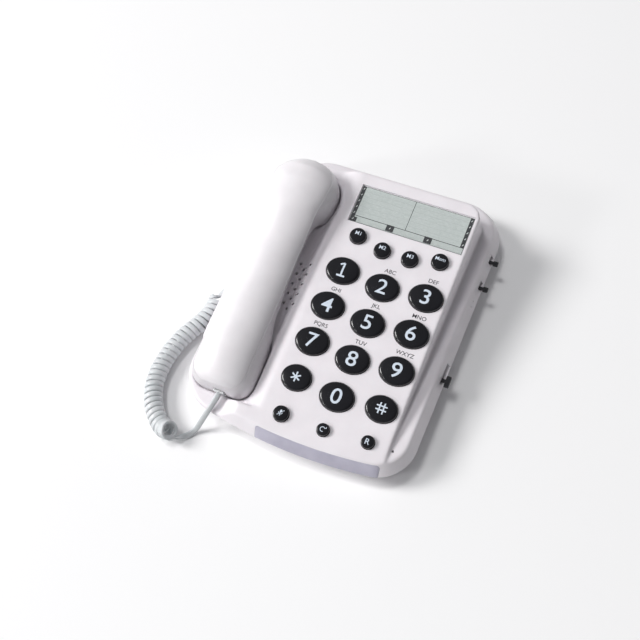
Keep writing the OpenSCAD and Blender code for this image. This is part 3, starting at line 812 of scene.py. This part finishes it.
def makeHandset(values):
    rings = [handsetRing(values, y) for y in handsetStations(values)]
    outer = addPiece("handsetOuter", loftSkin([r[0] for r in rings]), "handset",
                     finishes["handset_shell"], 50, panelPlace)
    inner = addPiece("handsetInner", loftSkin([r[1] for r in rings]), "handset",
                     finishes["handset_shell"], 50, panelPlace)
    for piece in (outer, inner):
        core = panelPlace @ Vector((values["middle"] * mm, 0.02, 0.004))
        side = sum((p.center - core).dot(p.normal) * p.area for p in piece.data.polygons)
        if side < 0:
            piece.data.flip_normals()
        thicken(piece, values["skin"] * mm, 50)
    holes = bmesh.new()
    for k in range(7):
        x, y = (0, 0) if k == 6 else (6 * cos(radians(60 * k)), 6 * sin(radians(60 * k)))
        discMesh(((values["middle"] + x) * mm, (91 + y) * mm), 1 * mm, -22 * mm, -13 * mm, 20, 1.0, holes)
    for x in (-4, 0, 4):
        discMesh(((values["middle"] + x) * mm, -47.5 * mm), 1 * mm, -16 * mm, -7 * mm, 20, 1.0, holes)
    boxMesh((-83.9 * mm, -74 * mm, -8.7 * mm), (-75.1 * mm, -63 * mm, -1.3 * mm), holes)
    for y in (8, 40):
        discMesh((values["middle"] * mm, y * mm), 1.7 * mm, -5 * mm, 3 * mm, 24, 1.0, holes)
    combine(inner, [toolObject(holes, panelPlace)])
    for piece in (outer, inner):
        piece.data.shade_smooth()
        piece.data.set_sharp_from_angle(angle=radians(78))
    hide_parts("handset_outer_shell")
    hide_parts("handset_inner_shell")
    print("handset made", len(outer.data.polygons) + len(inner.data.polygons))


makeHandset(handset)


# keys: a domed oval cap on a thin flange, with a printed legend
keyStyle = {"flangeTop": -2.8, "flangeTall": 1.4, "shoulder": 1.5, "dome": 1.1,
            "legendTall": 10.6, "inkLift": 0.035, "inkDeep": 0.12}


def domeHeight(fraction, top, style, big):
    dome = style["dome"] * (1 if big else 0.5) * mm
    shoulder = style["shoulder"] * (1 if big else 0.55) * mm
    z = top - dome * fraction ** 2
    if fraction > 0.86:
        t = (fraction - 0.86) / 0.14
        z -= shoulder * (1 - sqrt(max(1 - t * t, 0)))
    return z


def keyCap(values, style):
    x, y, halfW, halfH, top = values
    big = halfW > 8 * mm
    profile = [(f, domeHeight(f, top, style, big)) for f in
               (0, 0.15, 0.3, 0.45, 0.6, 0.72, 0.8, 0.86, 0.89, 0.92, 0.945, 0.965, 0.98, 0.992, 1.0)]
    points = [(f * halfW, z) for f, z in profile]
    points.append((halfW, style["flangeTop"] * mm))
    points.append((halfW + keyFlange, style["flangeTop"] * mm))
    points.append((halfW + keyFlange, (style["flangeTop"] - style["flangeTall"]) * mm))
    hollow = (5.0 if big else 2.8) * mm
    points += [(hollow, (style["flangeTop"] - style["flangeTall"]) * mm), (hollow, 0), (0, 0)]
    bm = bmesh.new()
    made = [bm.verts.new((r, 0, z)) for r, z in points]
    edges = [bm.edges.new(pair) for pair in zip(made, made[1:])]
    bmesh.ops.spin(bm, geom=made + edges, cent=(0, 0, 0), axis=(0, 0, 1), angle=2 * pi, steps=72,
                   use_merge=True)
    bmesh.ops.remove_doubles(bm, verts=bm.verts[:], dist=1e-6)
    bmesh.ops.transform(bm, matrix=Matrix.Translation((x, y, 0)) @ Matrix.Diagonal((1, halfH / halfW, 1, 1)),
                        verts=bm.verts)
    return bm


def textMesh(words, tall, thin=0.0, wide=1.0):
    curve = bpy.data.curves.new("words", "FONT")
    curve.body = words
    curve.align_x = "CENTER"
    curve.align_y = "CENTER"
    curve.size = 1.0
    curve.offset = thin
    curve.resolution_u = 6
    holder = bpy.data.objects.new("words", curve)
    scene.collection.objects.link(holder)
    bpy.context.view_layer.update()
    mesh = bpy.data.meshes.new_from_object(holder.evaluated_get(bpy.context.evaluated_depsgraph_get()))
    bpy.data.objects.remove(holder)
    bm = bmesh.new()
    bm.from_mesh(mesh)
    low = Vector([min(v.co[i] for v in bm.verts) for i in range(3)])
    high = Vector([max(v.co[i] for v in bm.verts) for i in range(3)])
    ratio = tall * mm / 0.7
    bmesh.ops.translate(bm, vec=-(low + high) / 2, verts=bm.verts)
    bmesh.ops.scale(bm, vec=(ratio * wide, ratio, ratio), verts=bm.verts)
    return bm


def layInk(bm, surface, style):
    # cuts flat lettering fine enough to follow a curved face, drops it on, gives it a little depth
    bmesh.ops.remove_doubles(bm, verts=bm.verts[:], dist=1e-6)
    for _ in range(4):
        bmesh.ops.triangulate(bm, faces=bm.faces[:])
        long = [e for e in bm.edges if e.calc_length() > 1.3 * mm]
        if not long:
            break
        bmesh.ops.subdivide_edges(bm, edges=long, cuts=1)
    bmesh.ops.triangulate(bm, faces=bm.faces[:])
    for v in bm.verts:
        v.co.z = surface(v.co.x, v.co.y) + style["inkLift"] * mm
    made = bmesh.ops.extrude_face_region(bm, geom=bm.faces[:], use_keep_orig=True)
    bmesh.ops.translate(bm, verts=[g for g in made["geom"] if isinstance(g, bmesh.types.BMVert)],
                        vec=(0, 0, -style["inkDeep"] * mm))
    return bm


def strokes(bm, lines, width):
    # straight strokes between pairs of points, in millimetres
    for (x0, y0), (x1, y1) in lines:
        way = Vector((x1 - x0, y1 - y0))
        place = (Matrix.Translation(((x0 + x1) / 2 * mm, (y0 + y1) / 2 * mm, 0))
                 @ Matrix.Rotation(Vector((1, 0)).angle_signed(way) * -1, 4, "Z")
                 @ Matrix.Diagonal((way.length * mm, width * mm, 1, 1)))
        bmesh.ops.create_grid(bm, x_segments=max(1, int(way.length)), y_segments=1, size=0.5, matrix=place)
    return bm


def ringMesh(bm, x, y, inner, outer, first=0, last=360):
    # a flat ring or part of one, in millimetres
    count = max(3, int((last - first) / 12))
    rows = []
    for k in range(count + 1):
        a = radians(first + (last - first) * k / count)
        rows.append([bm.verts.new(((x + r * cos(a)) * mm, (y + r * sin(a)) * mm, 0)) for r in (inner, outer)])
    for a, b in zip(rows, rows[1:]):
        bm.faces.new((a[0], a[1], b[1], b[0]))
    return bm


legends = {"key_m1": ("M1", 2.9), "key_m2": ("M2", 2.9), "key_m3": ("M3", 2.9), "key_mem": ("Mem", 2.7),
           "key_flash": ("R", 3.9)}
letters = {"key_2": "ABC", "key_3": "DEF", "key_4": "GHI", "key_5": "JKL", "key_6": "MNO", "key_7": "PQRS",
           "key_8": "TUV", "key_9": "WXYZ"}


def legendMesh(name):
    if name in legends:
        words, tall = legends[name]
        bm = textMesh(words, tall, 0.006)
        bmesh.ops.translate(bm, vec=(0, (0 if name == "key_flash" else 1.5) * mm, 0), verts=bm.verts)
        return bm
    bm = bmesh.new()
    if name == "key_star":
        tips = [(3.6 * cos(radians(a)), 3.6 * sin(radians(a))) for a in (30, 90, 150)]
        return strokes(bm, [((-x, -y), (x, y)) for x, y in tips], 1.05)
    if name == "key_hash":
        return strokes(bm, [((-1.2, -3.9), (-1.2, 3.9)), ((1.7, -3.9), (1.7, 3.9)),
                            ((-3.6, -1.3), (4.0, -1.3)), ((-3.6, 1.5), (4.0, 1.5))], 0.95)
    if name == "key_mute":  # a microphone with a bar across it
        ringMesh(bm, 0, 0.6, 1.1, 1.55, 180, 360)
        discMesh((0, 1.2 * mm), 0.75 * mm, -0.0001 * mm, 0.0001 * mm, 14, 1.5, bm)
        return strokes(bm, [((0, -2.0), (0, -0.9)), ((-2.0, -1.8), (2.1, 2.5))], 0.4)
    if name == "key_redial":  # a turning arrow
        ringMesh(bm, 0, 0, 1.35, 1.8, 30, 300)
        return strokes(bm, [((1.0, 1.0), (2.3, 1.1)), ((2.2, 1.0), (2.2, 2.2))], 0.45)
    if name == "key_1":
        return strokes(bm, [((0.35, -5.0), (0.35, 5.0)), ((-2.6, 3.3), (0.2, 4.9)),
                            ((-2.8, -4.9), (3.3, -4.9))], 1.3)
    return textMesh(name[-1], keyStyle["legendTall"], 0.006, 1.1)


def makeKeys(style):
    for name, values in keyPlace.items():
        x, y, halfW, halfH, top = values
        big = halfW > 8 * mm
        cap = addPiece(name.replace("key_", "keyCap"), keyCap(values, style), name, finishes["key"],
                       40, panelPlace)
        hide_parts(name)

        def onDome(px, py):
            return domeHeight(min(sqrt((px / halfW) ** 2 + (py / halfH) ** 2), 0.99), top, style, big)

        bm = legendMesh(name)
        layInk(bm, onDome, style)
        bmesh.ops.translate(bm, vec=(x, y, 0), verts=bm.verts)
        addPiece(name.replace("key_", "legend"), bm, name, legendInk, 30, panelPlace)
    for name, words in letters.items():
        x, y, halfW, halfH, _ = keyPlace[name]
        bm = textMesh(words, 2.9, 0.006, 1.05)
        layInk(bm, lambda px, py: 0.0, style)
        bmesh.ops.translate(bm, vec=(x + 0.8 * mm, y + halfH + 3.2 * mm, 0), verts=bm.verts)
        addPiece("letters" + words, bm, "base", greyInk, 30, panelPlace)
    print("keys made")


makeKeys(keyStyle)


# directory card under its clear cover
cardStyle = {
    "stripWide": 2.9, "labelLine": 86.4, "divider": -1.2, "rows": 5,
    "tags": (-12, 16.7), "leftMarks": 6, "rightMarks": 5,
}


def makeCard(values):
    low, high = panelBox("index_card")
    left, right, front, back = low.x / mm, high.x / mm, low.y / mm, high.y / mm
    paper = addPiece("cardPaper", boxMesh(low, high), "base", finishes["card"], 30, panelPlace)
    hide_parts("index_card")
    # printing sits between the paper and the cover
    inkLow, inkHigh = high.z - 0.01 * mm, high.z + 0.04 * mm

    def inkBox(bm, x0, x1, y0, y1, lift=0.0):
        return boxMesh((x0 * mm, y0 * mm, inkLow + lift), (x1 * mm, y1 * mm, inkHigh + lift), bm)

    line = values["labelLine"]
    pale = bmesh.new()
    halves = ((left + values["stripWide"] + 0.6, values["divider"] - 0.6),
              (values["divider"] + 0.9, right - 3.4))
    for half in halves:
        for row in range(1, values["rows"] + 1):
            y = line + (back - line) * row / (values["rows"] + 1)
            inkBox(pale, half[0], half[1], y - 0.13, y + 0.13)
    addPiece("cardRules", pale, "base", lineInk, 30, panelPlace)
    dark = bmesh.new()
    wide = values["stripWide"]
    inkBox(dark, left + 0.1, left + wide, front + 0.1, back - 0.1)
    inkBox(dark, right - wide, right - 0.1, line - 0.2, back - 0.1)
    inkBox(dark, left + wide, right - wide, line - 0.22, line + 0.22)
    inkBox(dark, left + wide, right - wide, back - 0.4, back - 0.1)
    inkBox(dark, values["divider"] - 0.2, values["divider"] + 0.2, line, back - 0.2)
    inkBox(dark, right - 0.45, right - 0.1, front + 0.1, line)
    inkBox(dark, left + wide, right - 0.1, front + 0.1, front + 0.32)
    inkBox(dark, left + wide, left + 5.2, front + 0.1, front + 3.9)
    for x in values["tags"]:
        inkBox(dark, x - 2.9, x + 2.9, line - 4.6, line + 0.4)
    addPiece("cardPrint", dark, "base", stripInk, 30, panelPlace)
    marks = bmesh.new()
    spots = []
    for k in range(values["leftMarks"]):
        spots.append((left + wide / 2 + (0.9 if k == 0 else 0),
                      front + 2.3 + (back - front - 4.6) * k / (values["leftMarks"] - 1)))
    for k in range(values["rightMarks"]):
        spots.append((right - wide / 2, line + 2.2 + (back - line - 4.6) * k / (values["rightMarks"] - 1)))
    spots += [(x, line - 2.1) for x in values["tags"]]
    for x, y in spots:
        place = (Matrix.Translation((x * mm, y * mm, (inkLow + inkHigh) / 2 + 0.02 * mm))
                 @ Matrix.Rotation(radians(-28), 4, "Z")
                 @ Matrix.Diagonal((0.55 * mm, 1.5 * mm, 0.05 * mm, 1)))
        bmesh.ops.create_cube(marks, size=1, matrix=place)
    addPiece("cardMarks", marks, "base", paleInk, 30, panelPlace)
    print("card made")


makeCard(cardStyle)


# light strip: the same sloping face as the shell round it, with softened edges
def makeStrip(values):
    strip = toolObject(skirtBlock(values))
    combine(strip, [toolObject(skirtBlock(values, 2.3))])
    combine(strip, [toolObject(lensZone(0))], "INTERSECT")
    combine(strip, [toolObject(boxMesh((-0.2, -0.2, -0.05), (0.2, 0.2, (values["partingZ"] + 0.05) * mm)))])
    soften = strip.modifiers.new("soften", "BEVEL")
    soften.width = 0.35 * mm
    soften.segments = 3
    soften.limit_method = "ANGLE"
    soften.angle_limit = radians(50)
    applyModifiers(strip, 40)
    finishPiece(strip, "lightStrip", "base", "light_lens", "light_strip")


makeStrip(shellShape)


# bottom shell: a tray with a rounded lower edge, screw posts, and windows for the two jacks
trayShape = {"top": 15.8, "topInset": 0.8, "bottom": 3.0, "lean": 4.2, "floor": 2.2,
             "posts": ((71.5, -75), (71.5, 60), (-29, -104), (-15, 82)),
             "switchRests": (73, 49.5, -26.5)}   # blocks under the side controls


def trayBlock(values, inset):
    bm = flatPlate([shellShape[k] for k in ("left", "right", "front", "back")], shellShape["corners"],
                   shellShape["bow"], shellShape["bowCentre"])
    insetPlate(bm, values["topInset"] + inset)
    bmesh.ops.translate(bm, verts=bm.verts[:], vec=(0, 0, values["top"] + (1 if inset else 0)))
    bottom, _ = raiseFace(bm, (0, 0, -1.0))
    if bottom.normal.z > 0:
        bottom.normal_flip()
    floorZ = values["bottom"] + (values["floor"] if inset else 0)
    drop = values["top"] + (1 if inset else 0) - 1.0 - floorZ
    bmesh.ops.inset_individual(bm, faces=[bottom], thickness=values["lean"], depth=drop, use_even_offset=True)
    if not inset:
        rim = [e for e in bm.edges if all(abs(v.co.z - floorZ) < 0.01 for v in e.verts)]
        bmesh.ops.bevel(bm, geom=rim, offset=1.6, segments=4, profile=0.5, affect="EDGES", material=-1)
    bmesh.ops.scale(bm, vec=(mm, mm, mm), verts=bm.verts[:])
    return bm


def makeTray(values):
    tray = toolObject(trayBlock(values, 0))
    combine(tray, [toolObject(trayBlock(values, 2.5))])
    extras = bmesh.new()
    for x, y in values["posts"]:
        discMesh((x * mm, y * mm), 4.2 * mm, 4.2 * mm, 15 * mm, 32, 1.0, extras)
    for y in values["switchRests"]:
        boxMesh((0.067, (y - 5) * mm, 4.5 * mm), (0.0765, (y + 5) * mm, 15.8 * mm), extras)
    combine(tray, [toolObject(extras)], "UNION")
    holes = bmesh.new()
    for x, y in values["posts"]:
        discMesh((x * mm, y * mm), 3.2 * mm, -1 * mm, 4.2 * mm, 32, 1.0, holes)
    boxMesh((-0.095, -0.0172, 0.0055), (-0.080, -0.0088, 0.0129), holes)
    boxMesh((0.018, 0.100, 0.0052), (0.042, 0.125, 0.020), holes)  # the line jack's frame fills this
    combine(tray, [toolObject(holes)])
    bores = bmesh.new()
    for x, y in values["posts"]:
        discMesh((x * mm, y * mm), 1.7 * mm, 2 * mm, 20 * mm, 24, 1.0, bores)
    combine(tray, [toolObject(bores)])
    finishPiece(tray, "bottomTray", "base", "shell", "bottom_shell")


makeTray(trayShape)


# side controls: short black caps on thin stems
def makeKnob(nodeName, capStart, capEnd, halfY, halfZ, corner):
    low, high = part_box(nodeName)
    middle = (low + high) / 2
    bm = boxMesh((capStart * mm, -halfY * mm, -halfZ * mm), (capEnd * mm, halfY * mm, halfZ * mm))
    along = [e for e in bm.edges if abs(e.verts[0].co.x - e.verts[1].co.x) > 1 * mm]
    bmesh.ops.bevel(bm, geom=along, offset=corner * mm, segments=7, profile=0.5, affect="EDGES", material=-1)
    rims = [e for e in bm.edges if all(v.co.x > (capEnd - 0.01) * mm for v in e.verts)]
    bmesh.ops.bevel(bm, geom=rims, offset=0.5 * mm, segments=3, profile=0.5, affect="EDGES", material=-1)
    for v in bm.verts:
        v.co += Vector((0, middle.y, middle.z))
    boxMesh((77 * mm, middle.y - 1.0 * mm, middle.z - 1.0 * mm),
            ((capStart + 0.6) * mm, middle.y + 1.0 * mm, middle.z + 1.0 * mm), bm)
    boxMesh((76.7 * mm, middle.y - halfY * mm, middle.z - 2.2 * mm),
            (77.6 * mm, middle.y + halfY * mm, middle.z + 2.2 * mm), bm)
    knob = addPiece(nodeName.title().replace("_", ""), bm, nodeName, finishes["knob"], 35)
    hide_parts(nodeName)


makeKnob("tone_switch", 85.4, 89.0, 2.0, 1.9, 1.8)
makeKnob("ringer_switch", 85.4, 89.0, 2.0, 1.9, 1.8)
makeKnob("volume_slider", 85.0, 88.4, 4.1, 2.2, 1.4)
print("side controls made")


# rubber feet with a rounded rim
def makeFeet():
    bm = bmesh.new()
    for x, y in ((-62, -84), (62, -90), (-62, 88), (60, 88)):
        discMesh((x * mm, y * mm), 7.5 * mm, 0, 3 * mm, 48, 1.0, bm)
    rims = [e for e in bm.edges if all(v.co.z < 0.01 * mm for v in e.verts)]
    bmesh.ops.bevel(bm, geom=rims, offset=0.8 * mm, segments=3, profile=0.5, affect="EDGES", material=-1)
    feet = addPiece("rubberFeet", bm, "base", finishes["foot_rubber"], 35)
    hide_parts("feet")


makeFeet()


# nodes that aren't replaced keep their CAD shape and get their finish
slotOf = {part["node"]: part["material_slot"] for part in frame["record"]["subparts"]}
for nodeName, node in frame["nodes"].items():
    node.data.materials.clear()
    node.data.materials.append(finishes[slotOf[nodeName]])
print("finishes given")

bpy.context.view_layer.update()
